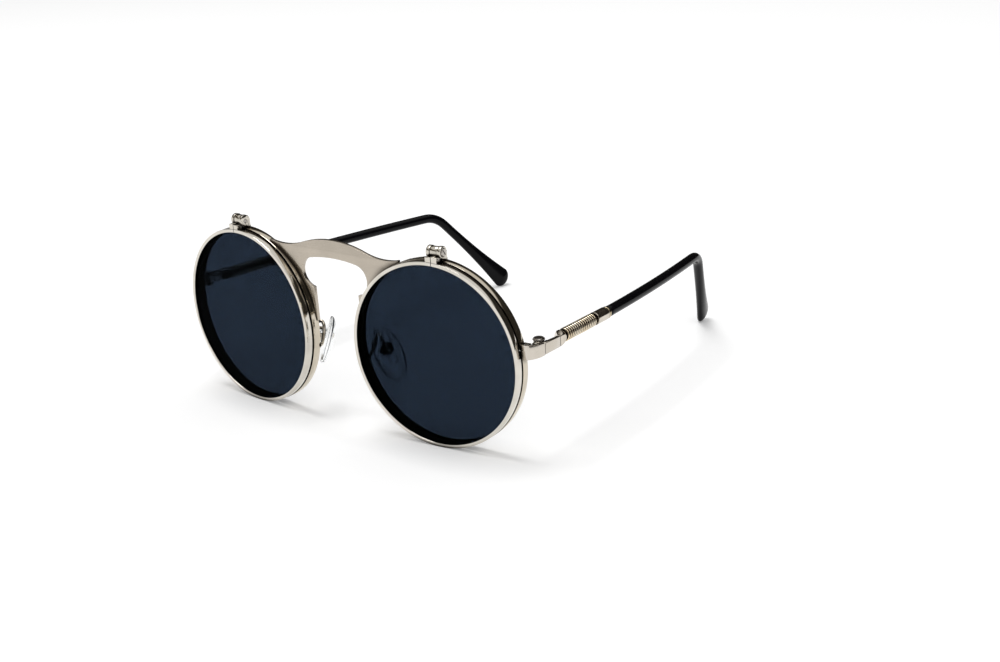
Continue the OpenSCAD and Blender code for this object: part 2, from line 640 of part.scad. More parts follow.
// Temples: flat bar, core with its coil, collar, wire and the black ear tip
tenon_air = 0.2;
block_lip = 0.5;
block_round = 0.6;
core_faces = 32;
taper_len = 0.4;
taper = 0.5;
module temple_bar(side) color("silver") sloped_frame(side) difference() {
    translate([outer_x - bar_t, 0, 0]) rotate([90, 0, 90]) linear_extrude(bar_t)
        polygon([[bar_front, bar_bottom], [bar_end, bar_bottom],
            [bar_end, bar_rear_top], [bar_front, bar_top]]);
    translate([bar_mid_x, bar_end - tenon_len - tenon_air, bar_rear_mid])
        bar_y(tenon_d + 2 * pin_fit, tenon_len + cut_past);
}
module temple_core(side) color("silver") sloped_frame(side) {
    translate([bar_mid_x, bar_end - tenon_len, bar_rear_mid]) bar_y(tenon_d, tenon_len + butt_gap + joined);
    hull() {
        block([outer_x - bar_t, block_y, bar_bottom], [outer_x, block_y + block_lip, bar_rear_top]);
        translate([core_x, coil_y - block_round, 0]) rotate([-90, 0, 0])
            cylinder(d = core_d, h = block_round, $fn = core_faces);
    }
    translate([core_x, coil_y - joined, 0]) bar_y(rod_d, coil_len + 2 * joined);
    translate([core_x, shoulder_y, 0]) bar_y(core_d, shoulder_len - taper_len);
    translate([core_x, collar_y - taper_len, 0]) rotate([-90, 0, 0])
        cylinder(d1 = core_d, d2 = core_d - taper, h = taper_len);
}
module temple_coil(side) color("gold") sloped_frame(side) translate([core_x, coil_y, 0])
    tube([for (i = [0 : len(coil_path) - 1]) let (last = len(coil_path) - 1)
        ellipse_ring(coil_path[i], i < 2 || i > last - 2 ? [0, 1, 0] : tangent(coil_path, i),
            [coil_path[i].x, 0, coil_path[i].z], [coil_wire, coil_wire] / 2, 6)], 6);
module temple_collar(side) color("goldenrod") sloped_frame(side) translate([core_x, collar_y, 0]) difference() {
    bar_y(collar_d, collar_len);
    translate([0, -cut_past, 0]) bar_y(wire_d + 2 * pin_fit, collar_len + 2 * cut_past);
}
module temple_wire(side) color("dimgray") sloped_frame(side) tube(wire_rings(wire_path, wire_d), wire_sides);
mouth_skin = 0.01;
module ear_tip(side) color([0.05, 0.05, 0.06]) sloped_frame(side) difference() {
    tube(tip_rings, tip_sides);
    translate([0, -mouth_skin, 0]) tube(wire_rings(wire_bore_path, wire_d + 3 * pin_fit), wire_sides);
}

// Flip-up hinges: a base on the rear rim and one pin
module hinge_bore() { translate([-hinge_w, 0, 0]) bar_x(pin_d + 2 * pin_fit, 2 * hinge_w); }
ear_w = (hinge_w - barrel_w) / 2 - knuckle_gap;
foot_back = rear_back_d - hinge_d;
foot_top = -barrel_d / 2 - foot_gap;
module flip_base(side) color("silver") difference() {
    hinge_frame(side) difference() {
        union() {
            block([-hinge_w / 2, foot_front, opening_top], [hinge_w / 2, foot_back, foot_top]);
            for (x = [-hinge_w / 2, hinge_w / 2 - ear_w]) translate([x, 0, 0]) {
                bar_x(knuckle_d, ear_w);
                block([0, foot_front, foot_top - foot_t], [ear_w, knuckle_d / 2, 0]);
            }
        }
        hinge_bore();
    }
    rim_space(side);
}
pin_tail_share = 0.8;
module flip_pin(side) color("gray") hinge_frame(side) {
    translate([-hinge_w / 2, 0, 0]) bar_x(pin_d, hinge_w);
    translate([hinge_w / 2, 0, 0]) rotate([0, 90, 0]) slotted_head(pin_head_d, pin_head_h);
    translate([-hinge_w / 2, 0, 0]) rotate([0, -90, 0]) 
        cylinder(d1 = pin_head_d * pin_tail_share, d2 = pin_d, h = pin_head_h / 2);
}

// Flips: a rim with its tinted lens, hung from a leaf and closed by a lock and its screw
module flip_rim(side) color("silver") flip_frame(side) translate([-hinge_u, -hinge_d, -hinge_v]) difference() {
    rim(flip_r, flip_rim_t, flip_lens_t);
    block([hinge_u - rim_slit / 2, -cut_past, 0],
        [hinge_u + rim_slit / 2, flip_rim_t + cut_past, flip_r + cut_past]);
}
module flip_lens(side) color([0.15, 0.18, 0.25], 0.85) flip_frame(side)
    translate([-hinge_u, -hinge_d + flip_rim_t / 2 - flip_lens_t / 2, -hinge_v])
    bar_y(2 * (groove_r - lens_fit), flip_lens_t);
module lock_bore() {
    translate([-lock_w, lock_screw_y, lock_screw_z]) bar_x(lock_screw_d + 2 * pin_fit, 2 * lock_w);
}
module lock_half(from, to) {
    difference() {
        block([from, lock_front, opening_top], [to, lock_back, lock_top]);
        translate([-lock_w, 0, 0]) bar_x(2 * lock_swing_r, 2 * lock_w);
        translate([-hinge_u, -hinge_d - cut_past, -hinge_v]) bar_y(2 * flip_r, hinge_d);
        lock_bore();
    }
}
leaf_wall = 0.3;
pin_wall = 0.1;
module flip_leaf(side) color("tan") flip_frame(side) {
    lock_half(rim_slit / 2, lock_w / 2);
    difference() {
        union() {
            translate([-barrel_w / 2, 0, 0]) bar_x(barrel_d, barrel_w);
            block([rim_slit / 2, lock_front, lock_top - leaf_wall], [barrel_w / 2, 0, -pin_d / 2 - pin_wall]);
        }
        hinge_bore();
        lock_bore();
    }
}
module flip_lock(side) color("tan") flip_frame(side) lock_half(-lock_w / 2, -rim_slit / 2);
module flip_lock_screw(side) color("dimgray") flip_frame(side) translate([0, lock_screw_y, lock_screw_z]) {
    translate([-lock_w / 2, 0, 0]) bar_x(lock_screw_d, lock_w);
    translate([lock_w / 2, 0, 0]) rotate([0, 90, 0]) slotted_head(lock_head_d, lock_head_h);
}

// Nose pads: a bent wire on the rear rim, a small box, a screw and the soft pad
module pad_arm(side) color("silver") lens_frame(side) tube(arm_rings, arm_sides);
module pad_box(side) color("silver") pad_frame(side) translate([0, 0, pad_screw_z]) difference() {
    block([box_front_x, -box_w / 2, -box_h / 2], [box_back_x, box_w / 2, box_h / 2]);
    block([box_front_x - cut_past, box_wall - box_w / 2, -box_h],
        [box_back_x - box_wall, box_w / 2 - box_wall, box_h]);
    translate([pad_screw_x, -box_w, 0]) bar_y(pad_screw_d + 2 * pin_fit, 2 * box_w);
}
pad_head_share = 1.8;
module pad_screw(side) color("gray") pad_frame(side) translate([pad_screw_x, -box_w / 2, pad_screw_z]) {
    bar_y(pad_screw_d, box_w);
    rotate([90, 0, 0]) slotted_head(pad_screw_d * pad_head_share, box_wall);
}
module nose_pad(side) color("whitesmoke", 0.6) pad_frame(side) difference() {
    union() {
        tube(pad_rings, pad_sides);
        block([0, -stem_w / 2, pad_screw_z - stem_h / 2], [pad_screw_x, stem_w / 2, pad_screw_z + stem_h / 2]);
        translate([pad_screw_x, -stem_w / 2, pad_screw_z]) bar_y(stem_h, stem_w);
    }
    translate([pad_screw_x, -pad_w, pad_screw_z]) bar_y(pad_screw_d + 2 * pin_fit, 2 * pad_w);
}

bridge_plate();
for (s = SIDES) {
    rear_rim(s[1]);
    rear_lens(s[1]);
    end_piece(s[1]);
    rear_lock(s[1]);
    rear_lock_screw(s[1]);
    hinge_fork(s[1]);
    temple_screw(s[1]);
    flip_base(s[1]);
    flip_pin(s[1]);
    pad_arm(s[1]);
    pad_box(s[1]);
    pad_screw(s[1]);
    flip_rim(s[1]);
    flip_lens(s[1]);
    flip_leaf(s[1]);
    flip_lock(s[1]);
    flip_lock_screw(s[1]);
    hinge_tongue(s[1]);
    temple_bar(s[1]);
    temple_core(s[1]);
    temple_coil(s[1]);
    temple_collar(s[1]);
    temple_wire(s[1]);
    ear_tip(s[1]);
    nose_pad(s[1]);
}
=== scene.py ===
import math

import bmesh
import bpy
from mathutils import Matrix, Vector


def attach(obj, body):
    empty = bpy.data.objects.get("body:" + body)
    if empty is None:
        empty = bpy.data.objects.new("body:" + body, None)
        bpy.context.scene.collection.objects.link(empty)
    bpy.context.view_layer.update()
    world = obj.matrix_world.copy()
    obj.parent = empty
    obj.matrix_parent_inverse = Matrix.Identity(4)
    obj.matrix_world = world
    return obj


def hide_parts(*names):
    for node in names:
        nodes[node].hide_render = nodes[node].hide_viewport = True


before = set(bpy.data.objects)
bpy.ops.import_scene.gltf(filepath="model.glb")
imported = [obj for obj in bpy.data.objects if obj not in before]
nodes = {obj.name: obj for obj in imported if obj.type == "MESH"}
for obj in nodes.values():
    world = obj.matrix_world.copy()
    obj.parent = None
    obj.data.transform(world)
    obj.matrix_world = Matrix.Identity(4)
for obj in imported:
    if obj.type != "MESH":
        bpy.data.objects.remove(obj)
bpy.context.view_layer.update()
print("frame loaded:", len(nodes), "nodes")

# Where the glasses stand, in millimetres and degrees, as the frame was made
stance = {
    "middleBack": 65.5314, "lensHeight": 26.099, "lensPitch": 70.0, "wrap": 5.2, "lean": 2.0,
    "hingeOut": 1.6, "hingeBack": 3.0, "hingeUp": 28.2011,
    "templeOut": 61.9, "templeBack": 10.5, "templeUp": 4.65, "toe": 2.9, "slope": 0.6,
    "padPlace": (-22.0, 10.25, -6.0), "padTurn": (17.5, -17.5, -50.2),
}
sides = (("left", 1), ("right", -1))
outWay, backWay = Vector((1, 0, 0)), Vector((0, 1, 0))


def turn(degrees, axis):
    return Matrix.Rotation(math.radians(degrees), 4, axis)


def shift(x, y, z):
    return Matrix.Translation((x, y, z))


def sideFrame(side):
    standing = shift(0, -stance["middleBack"], stance["lensHeight"])
    return Matrix.Scale(0.001, 4) @ standing @ Matrix.Diagonal((side, 1, 1, 1))


def lensFrame(side):  # outward, back, up, from a lens's centre in the flip rim's front face
    leaned = sideFrame(side) @ turn(stance["lean"], "X")
    return leaned @ shift(stance["lensPitch"] / 2, 0, 0) @ turn(stance["wrap"], "Z")


def hingeFrame(side):
    return lensFrame(side) @ shift(stance["hingeOut"], stance["hingeBack"], stance["hingeUp"])


def templeFrame(side):
    hinge = shift(stance["templeOut"], stance["templeBack"], stance["templeUp"])
    return sideFrame(side) @ hinge @ turn(stance["toe"], "Z")


def slopedFrame(side):
    return templeFrame(side) @ turn(-stance["slope"], "X")


def padFrame(side):
    x, y, z = stance["padTurn"]
    return lensFrame(side) @ shift(*stance["padPlace"]) @ turn(z, "Z") @ turn(y, "Y") @ turn(x, "X")


# ---- camera at the photograph's angle: place and lens in millimetres, clipping in metres
cameraPlace = {"spot": (269.41, -338.25, 152.18), "swing": 37.834, "rise": 18.439, "roll": -2.57,
               "lens": 52.09, "sensor": 36, "near": 0.01, "far": 20}
swing, rise, roll = (math.radians(cameraPlace[k]) for k in ("swing", "rise", "roll"))
back = Vector((math.sin(swing) * math.cos(rise), -math.cos(swing) * math.cos(rise), math.sin(rise)))
level = Vector((math.cos(swing), math.sin(swing), 0))
upright = back.cross(level)
across = level * math.cos(roll) + upright * math.sin(roll)
overhead = -level * math.sin(roll) + upright * math.cos(roll)
cameraData = bpy.data.cameras.new("photoCamera")
cameraData.sensor_width = cameraPlace["sensor"]
cameraData.lens = cameraPlace["lens"]
cameraData.clip_start = cameraPlace["near"]
cameraData.clip_end = cameraPlace["far"]
camera = bpy.data.objects.new("photoCamera", cameraData)
camera.matrix_world = (Matrix.Translation(Vector(cameraPlace["spot"]) / 1000)
                       @ Matrix((across, overhead, back)).transposed().to_4x4())
bpy.context.scene.collection.objects.link(camera)
bpy.context.scene.camera = camera
print("camera set")


# ---- node groups shared by the materials
def newGroup(name, inputs, outputs):
    group = bpy.data.node_groups.new(name, "ShaderNodeTree")
    for label, kind, value in inputs:
        group.interface.new_socket(name=label, in_out="INPUT", socket_type=kind).default_value = value
    for label, kind in outputs:
        group.interface.new_socket(name=label, in_out="OUTPUT", socket_type=kind)
    return group, group.nodes.new("NodeGroupInput"), group.nodes.new("NodeGroupOutput")


def feed(tree, value, slot):  # a socket is linked, a number or colour is set
    if isinstance(value, bpy.types.NodeSocket):
        tree.links.new(value, slot)
    else:
        slot.default_value = value


def addNoise(tree, coords, marks):
    noise = tree.nodes.new("ShaderNodeTexNoise")
    noise.inputs["Scale"].default_value = marks["scale"]
    noise.inputs["Detail"].default_value = marks["detail"]
    if "stretch" in marks:
        mapping = tree.nodes.new("ShaderNodeMapping")
        mapping.inputs["Scale"].default_value = marks["stretch"]
        tree.links.new(coords, mapping.inputs["Vector"])
        coords = mapping.outputs["Vector"]
    tree.links.new(coords, noise.inputs["Vector"])
    return noise.outputs["Fac"]


def addRange(tree, value, span, low=0.0, high=1.0):
    spread = tree.nodes.new("ShaderNodeMapRange")
    spread.inputs["From Min"].default_value, spread.inputs["From Max"].default_value = span
    tree.links.new(value, spread.inputs["Value"])
    feed(tree, low, spread.inputs["To Min"])
    feed(tree, high, spread.inputs["To Max"])
    return spread.outputs["Result"]


def addMath(tree, operation, first, second):
    node = tree.nodes.new("ShaderNodeMath")
    node.operation = operation
    feed(tree, first, node.inputs[0])
    feed(tree, second, node.inputs[1])
    return node.outputs["Value"]


def addMix(tree, mask, first, second):
    mix = tree.nodes.new("ShaderNodeMix")
    mix.data_type = "RGBA"
    tree.links.new(mask, mix.inputs["Factor"])
    colourSlots = [s for s in mix.inputs if s.type == "RGBA"]
    feed(tree, first, colourSlots[0])
    feed(tree, second, colourSlots[1])
    return [s for s in mix.outputs if s.type == "RGBA"][0]


# metal: cloudy tone, fine drawn grain, a few hair scratches, and painted shade that darkens corners and narrow
# gaps
metalMarks = {
    "cloud": {"scale": 160, "detail": 3, "span": (0.35, 0.65)},
    "grain": {"scale": 1500, "detail": 4, "stretch": (1, 1, 7), "span": (0.3, 0.7)},
    "scratch": {"scale": 420, "detail": 2, "stretch": (0.6, 0.6, 9), "span": (0.64, 0.70),
                "rough": 0.05, "deep": 0.3},
    "corner": {"samples": 8, "span": (0.48, 0.92)},
}
# the group's dark input colour is painted shade, laid into corners and narrow gaps
metalFinish, inside, outside = newGroup("metalFinish", (
    ("Tone", "NodeSocketColor", (0.7, 0.68, 0.64, 1)), ("Shade", "NodeSocketColor", (0.5, 0.48, 0.44, 1)),
    ("Polish", "NodeSocketFloat", 0.08), ("Dull", "NodeSocketFloat", 0.16), ("Grain", "NodeSocketFloat", 0.2),
    ("Corner", "NodeSocketFloat", 0.001), ("Tarnish", "NodeSocketColor", (0.02, 0.015, 0.01, 1))),
    (("Color", "NodeSocketColor"), ("Roughness", "NodeSocketFloat"), ("Height", "NodeSocketFloat")))
spot = metalFinish.nodes.new("ShaderNodeTexCoord").outputs["Object"]
cloud, grain, scratch = (addNoise(metalFinish, spot, metalMarks[k]) for k in ("cloud", "grain", "scratch"))
hair = addRange(metalFinish, scratch, metalMarks["scratch"]["span"])
cloudy = addRange(metalFinish, cloud, metalMarks["cloud"]["span"])
# painted shade: ambient occlusion mixes the colour towards the dark input in corners and narrow gaps, where
# shade falls
corner = metalFinish.nodes.new("ShaderNodeAmbientOcclusion")
corner.samples = metalMarks["corner"]["samples"]
metalFinish.links.new(inside.outputs["Corner"], corner.inputs["Distance"])
openAir = addRange(metalFinish, corner.outputs["AO"], metalMarks["corner"]["span"])
clean = addMix(metalFinish, cloudy, inside.outputs["Tone"], inside.outputs["Shade"])
metalFinish.links.new(addMix(metalFinish, openAir, inside.outputs["Tarnish"], clean), outside.inputs["Color"])
soft = addRange(metalFinish, grain, metalMarks["grain"]["span"], inside.outputs["Polish"],
                inside.outputs["Dull"])
roughHair = addMath(metalFinish, "MULTIPLY", hair, metalMarks["scratch"]["rough"])
metalFinish.links.new(addMath(metalFinish, "ADD", soft, roughHair), outside.inputs["Roughness"])
deepGrain = addMath(metalFinish, "MULTIPLY", grain, inside.outputs["Grain"])
deepHair = addMath(metalFinish, "MULTIPLY", hair, metalMarks["scratch"]["deep"])
metalFinish.links.new(addMath(metalFinish, "SUBTRACT", deepGrain, deepHair), outside.inputs["Height"])

# moulded plastic and silicone: slight flow marks, fine skin, wiped spots
mouldedMarks = {
    "flow": {"scale": 90, "detail": 3, "stretch": (1, 0.35, 1), "toneSpan": (0.4, 0.7),
             "glossSpan": (0.35, 0.75)},
    "skin": {"scale": 900, "detail": 3, "deep": 0.2},
}
mouldedSkin, inside, outside = newGroup("mouldedSkin", (
    ("Tone", "NodeSocketColor", (0.01, 0.01, 0.012, 1)), ("Shade", "NodeSocketColor", (0.02, 0.02, 0.022, 1)),
    ("Gloss", "NodeSocketFloat", 0.05), ("Wiped", "NodeSocketFloat", 0.2)),
    (("Color", "NodeSocketColor"), ("Roughness", "NodeSocketFloat"), ("Height", "NodeSocketFloat")))
spot = mouldedSkin.nodes.new("ShaderNodeTexCoord").outputs["Object"]
flow, skin = (addNoise(mouldedSkin, spot, mouldedMarks[k]) for k in ("flow", "skin"))
worn = addRange(mouldedSkin, flow, mouldedMarks["flow"]["toneSpan"])
mouldedSkin.links.new(addMix(mouldedSkin, worn, inside.outputs["Tone"], inside.outputs["Shade"]),
                      outside.inputs["Color"])
mouldedSkin.links.new(addRange(mouldedSkin, flow, mouldedMarks["flow"]["glossSpan"], inside.outputs["Gloss"],
                               inside.outputs["Wiped"]), outside.inputs["Roughness"])
fineSkin = addMath(mouldedSkin, "MULTIPLY", skin, mouldedMarks["skin"]["deep"])
mouldedSkin.links.new(addMath(mouldedSkin, "ADD", fineSkin, flow), outside.inputs["Height"])
print("finishes ready")

# ---- materials
reliefDeep = 0.00002  # metres from a bump's low to its high


def newMaterial(name, group, settings, bump, **sockets):
    material = bpy.data.materials.new(name)
    material.use_nodes = True
    tree = material.node_tree
    shader = tree.nodes["Principled BSDF"]
    for key, value in sockets.items():
        shader.inputs[key.replace("_", " ")].default_value = value
    finish = tree.nodes.new("ShaderNodeGroup")
    finish.node_tree = group
    for key, value in settings.items():
        finish.inputs[key].default_value = value
    tree.links.new(finish.outputs["Color"], shader.inputs["Base Color"])
    if "Roughness" not in sockets:
        tree.links.new(finish.outputs["Roughness"], shader.inputs["Roughness"])
    if not bump:
        return material
    relief = tree.nodes.new("ShaderNodeBump")
    relief.inputs["Strength"].default_value = bump
    relief.inputs["Distance"].default_value = reliefDeep
    tree.links.new(finish.outputs["Height"], relief.inputs["Height"])
    tree.links.new(relief.outputs["Normal"], shader.inputs["Normal"])
    return material


# tone, shade, polish, dull, grain, bump, how far the painted shade in corners and gaps reaches
metals = {
    "plate_metal": ((0.50, 0.445, 0.375), (0.46, 0.41, 0.345), 0.20, 0.27, 0.3, 0.10, 0.0030),
    "rear_rim_metal": ((0.66, 0.60, 0.50), (0.58, 0.52, 0.42), 0.05, 0.09, 0.3, 0.02, 0.0032),
    "flip_rim_metal": ((0.70, 0.665, 0.60), (0.62, 0.585, 0.52), 0.05, 0.09, 0.3, 0.02, 0.0030),
    "strip_metal": ((0.66, 0.61, 0.55), (0.58, 0.53, 0.46), 0.10, 0.18, 0.4, 0.10, 0.0012),
    "hinge_metal": ((0.68, 0.64, 0.57), (0.57, 0.53, 0.46), 0.06, 0.14, 0.3, 0.10, 0.0014),
    "core_metal": ((0.68, 0.62, 0.54), (0.56, 0.51, 0.43), 0.06, 0.14, 0.3, 0.08, 0.0020),
    "coil_metal": ((0.84, 0.76, 0.62), (0.76, 0.62, 0.42), 0.05, 0.10, 0.3, 0.05, 0.0010),
    "collar_metal": ((0.66, 0.56, 0.40), (0.56, 0.46, 0.30), 0.08, 0.15, 0.3, 0.10, 0.0006),
    "pad_metal": ((0.70, 0.64, 0.55), (0.58, 0.52, 0.42), 0.05, 0.12, 0.3, 0.08, 0.0020),
    "screw_steel": ((0.50, 0.47, 0.43), (0.38, 0.35, 0.32), 0.08, 0.20, 0.5, 0.12, 0.0012),
}
# tone, shade, roughness where wiped, refractive index, share of light that passes into the shadow
clears = {
    "tinted_lens": ((0.0158, 0.0243, 0.0402), (0.0145, 0.0225, 0.0375), 0.0, 1.03, 0.25),
    "clear_lens": ((0.97, 0.985, 0.98), (0.95, 0.97, 0.965), 0.0, 1.3, 0.9),
    "pad_silicone": ((0.985, 0.99, 0.99), (0.93, 0.95, 0.95), 0.12, 1.36, 0.8),
}


def clearMaterial(name, tone, shade, wiped, bend, shadowLight):
    settings = {"Tone": (*tone, 1), "Shade": (*shade, 1), "Gloss": 0.0, "Wiped": wiped}
    sockets = {"IOR": bend, "Transmission Weight": 1.0}
    if not wiped:  # a lens is equally smooth all over
        sockets["Roughness"] = 0.0
    material = newMaterial(name, mouldedSkin, settings, 0, **sockets)
    tree = material.node_tree  # light passes through it into its shadow
    path = tree.nodes.new("ShaderNodeLightPath")
    solid = addRange(tree, path.outputs["Is Shadow Ray"], (0, 1), 1.0, 1.0 - shadowLight)
    tree.links.new(solid, tree.nodes["Principled BSDF"].inputs["Alpha"])
    return material


materials = {}
for slotName, (tone, shade, polish, dull, grainDepth, bump, shadeReach) in metals.items():
    materials[slotName] = newMaterial(slotName.replace("_", " "), metalFinish, {
        "Tone": (*tone, 1), "Shade": (*shade, 1), "Polish": polish, "Dull": dull, "Grain": grainDepth,
        "Corner": shadeReach}, bump, Metallic=1.0)
materials["black_tip"] = newMaterial("black tip", mouldedSkin, {
    "Tone": (0.002, 0.002, 0.003, 1), "Shade": (0.004, 0.004, 0.005, 1), "Gloss": 0.12, "Wiped": 0.22},
    0.15, IOR=1.45, Specular_IOR_Level=0.12)
for slotName, look in clears.items():
    materials[slotName] = clearMaterial(slotName.replace("_", " "), *look)
print("materials ready:", len(materials))

# ---- tools for the pieces: distances in metres, angles in degrees
meshing = {"merge": 2e-7, "cadMerge": 2e-6, "flatWithin": 0.4, "crispFrom": 35, "bevelSteps": 2}


def newObject(name, bm):
    mesh = bpy.data.meshes.new(name)
    bm.to_mesh(mesh)
    bm.free()
    made = bpy.data.objects.new(name, mesh)
    bpy.context.scene.collection.objects.link(made)
    return made


def finishPiece(name, bm, place, body, slotName, *stoodFor, sharp=35):
    bmesh.ops.transform(bm, matrix=place, verts=bm.verts)
    bmesh.ops.remove_doubles(bm, verts=bm.verts, dist=meshing["merge"])
    bmesh.ops.recalc_face_normals(bm, faces=bm.faces)
    piece = newObject(name, bm)
    piece.data.shade_smooth()
    piece.data.set_sharp_from_angle(angle=math.radians(sharp))
    piece.data.materials.append(materials[slotName])
    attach(piece, body)
    if stoodFor:
        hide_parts(*stoodFor)


def edgesOf(verts):
    inRing = set(verts)
    return [e for v in verts for e in v.link_edges if e.other_vert(v) in inRing and e.verts[0] == v]


def addRing(bm, place, count, square=2.0, filled=False):
    ring = bmesh.ops.create_circle(bm, cap_ends=filled, segments=count, radius=1)["verts"]
    if square != 2.0:  # 2 is a circle, more is squarer, up to a block's outline
        for v in ring:
            v.co = Vector([math.copysign(abs(c) ** (2 / square), c) for c in v.co[:2]] + [0])
    bmesh.ops.transform(bm, matrix=place, verts=ring)
    return edgesOf(ring)


def loft(bm, places, count, squares=None):
    rings = [addRing(bm, place, count, squares[i] if squares else 2.0, i in (0, len(places) - 1))
             for i, place in enumerate(places)]
    for first, second in zip(rings, rings[1:]):
        bmesh.ops.bridge_loops(bm, edges=first + second)


def ringPlace(point, along, sideWay, halfSide, halfUp):
    along = along.normalized()
    n = (sideWay - along * sideWay.dot(along)).normalized()
    w = along.cross(n)
    turned = Matrix((n * halfSide, w * halfUp, along)).transposed().to_4x4()
    return Matrix.Translation(point) @ turned


def sweep(bm, path, halves, count, sideWays, ends):
    last = len(path) - 1
    places = []
    for i, point in enumerate(path):
        along = path[min(i + 1, last)] - path[max(i - 1, 0)]
        if i in (0, last):
            along = ends[0] if i == 0 else ends[1]
        sideWay = sideWays[i] if isinstance(sideWays, list) else sideWays
        half = halves[i] if isinstance(halves, list) else halves
        places.append(ringPlace(point, along, sideWay, *half))
    loft(bm, places, count)


def crispEdges(bm, angle):
    return [e for e in bm.edges if len(e.link_faces) == 2 and e.calc_face_angle(0) > math.radians(angle)]


def roundEdges(bm, edges, width):
    bmesh.ops.bevel(bm, geom=edges, offset=width, offset_type="OFFSET", segments=meshing["bevelSteps"],
                    profile=0.5, affect="EDGES", clamp_overlap=True, material=-1)


def dressNode(nodeName, body, slotName, width):  # the node's own solid with its edges softened
    bm = bmesh.new()
    bm.from_mesh(nodes[nodeName].data)
    bmesh.ops.remove_doubles(bm, verts=bm.verts, dist=meshing["cadMerge"])
    bmesh.ops.dissolve_limit(bm, angle_limit=math.radians(meshing["flatWithin"]), verts=bm.verts,
                             edges=bm.edges)
    roundEdges(bm, crispEdges(bm, meshing["crispFrom"]), width / 1000)
    finishPiece("dressed_" + nodeName, bm, Matrix.Identity(4), body, slotName, nodeName, sharp=50)


# ---- rims: a crowned, polished band with the groove for its lens, open at the slit
rims = {
    "flip": {"inner": 25.1, "outer": 26.1, "front": 0.0, "deep": 2.0, "lens": 1.0, "crown": 0.05,
             "edge": 0.16, "slitAt": 86.44, "slit": 0.2},
    "rear": {"inner": 25.1, "outer": 26.2, "front": 2.45, "deep": 2.45, "lens": 1.2, "crown": 0.05,
             "edge": 0.18, "slitAt": 10.15, "slit": 0.2},
}
# both rims: steps round, groove depth, air beside the lens, belly, and how an edge rounds into the crown
rimShape = {"steps": 216, "groove": 0.6, "lensAir": 0.05, "belly": 0.02, "edgeIn": 0.35, "edgeDrop": 1.6,
            "faceDrop": 0.3}


def rimSolid(size):
    inner, outer, front, edge = size["inner"], size["outer"], size["front"], size["edge"]
    rear = front + size["deep"]
    middle = (front + rear) / 2
    half = size["lens"] / 2 + rimShape["lensAir"]
    third = (outer - inner) / 3
    nearEdge, farEdge = inner + edge * rimShape["edgeIn"], outer - edge * rimShape["edgeIn"]
    edgeDrop, faceDrop = size["crown"] * rimShape["edgeDrop"], size["crown"] * rimShape["faceDrop"]
    belly, groove = outer - rimShape["belly"], inner + rimShape["groove"]
    line = [(inner, front + edge), (nearEdge, front + edgeDrop), (inner + third, front + faceDrop),
            ((inner + outer) / 2, front), (outer - third, front + faceDrop), (farEdge, front + edgeDrop),
            (belly, front + edge), (outer, middle), (belly, rear - edge), (farEdge, rear - edgeDrop),
            (outer - third, rear - faceDrop), (inner + third, rear - faceDrop), (nearEdge, rear - edgeDrop),
            (inner, rear - edge), (inner, middle + half), (groove, middle + half), (groove, middle - half),
            (inner, middle - half)]
    bm = bmesh.new()
    profile = bm.faces.new([bm.verts.new((r, d, 0)) for r, d in line])
    gap = math.degrees(size["slit"] / inner)
    bmesh.ops.spin(bm, geom=[profile, *profile.verts, *profile.edges], cent=(0, 0, 0), axis=(0, -1, 0),
                   angle=math.radians(360 - gap), steps=rimShape["steps"], use_merge=False)
    bmesh.ops.transform(bm, matrix=turn(-size["slitAt"] - gap / 2, "Y"), verts=bm.verts)
    return bm


for sideName, side in sides:
    finishPiece("rearRim_" + sideName, rimSolid(rims["rear"]), lensFrame(side), "front", "rear_rim_metal",
                "rear_rim_" + sideName, sharp=40)
    finishPiece("flipRim_" + sideName, rimSolid(rims["flip"]), lensFrame(side), "flip_" + sideName,
                "flip_rim_metal", "flip_rim_" + sideName, sharp=40)
print("rims made")

# ---- plate, end pieces, knuckles, locks, bars and boxes: the frame's own shapes with softened edges
softened = {"bridge_plate": ("front", "plate_metal", 0.16)}  # body, finish, bevel width
for sideName, side in sides:
    softened.update({
        "end_piece_" + sideName: ("front", "strip_metal", 0.16),
        "rear_lock_" + sideName: ("front", "strip_metal", 0.08),
        "hinge_fork_" + sideName: ("front", "hinge_metal", 0.08),
        "flip_base_" + sideName: ("front", "hinge_metal", 0.10),
        "pad_box_" + sideName: ("front", "pad_metal", 0.08),
        "flip_leaf_" + sideName: ("flip_" + sideName, "hinge_metal", 0.08),
        "flip_lock_" + sideName: ("flip_" + sideName, "hinge_metal", 0.08),
        "hinge_tongue_" + sideName: ("temple_" + sideName, "hinge_metal", 0.06),
        "temple_bar_" + sideName: ("temple_" + sideName, "strip_metal", 0.16),
        "temple_collar_" + sideName: ("temple_" + sideName, "collar_metal", 0.12),
    })
for nodeName, (body, slotName, width) in softened.items():
    dressNode(nodeName, body, slotName, width)
print("softened pieces:", len(softened))

# ---- temples: block, rod, shoulder and the wound wire
temple = {
    "outer": 2.8, "barThick": 1.2, "barLow": -1.65, "barHigh": 1.25, "blockFrom": 6.15, "coilFrom": 9.15,
    "coilLong": 16.7, "core": 3.7, "rod": 2.3, "shoulder": 6.0, "sides": 48,
    "tenon": 0.7, "tenonFrom": -2.15, "tenonLong": 2.4, "tenonSides": 16,
    # the block, from its front and up to the coil: distance, share from flat to round, fullness
    "blockFront": ((0.0, 0.0, 0.92), (0.12, 0.0, 1.0), (0.2, 0.0, 1.0)),
    "blockBack": ((-0.16, 1.0, 1.0), (-0.04, 1.0, 0.97), (0.0, 1.0, 0.9)),
    # between these it turns from flat to round, and its section from a block's to a circle
    "turnFrom": 0.25, "turnLong": 2.5, "turnShares": (0.12, 0.3, 0.5, 0.7, 0.86, 0.96, 1.0),
    "square": 9, "squareLoss": 7, "squareFade": 0.6,
    # the shoulder: distance from its front and share of the radius, distance from its end and loss
    "shoulderFront": ((0.0, 0.9), (0.05, 0.97), (0.18, 1.0), (0.3, 1.0)),
    "shoulderBack": ((0.7, 0.0), (0.55, 0.0), (0.3, 0.06), (0.1, 0.2), (0.0, 0.3)),
}


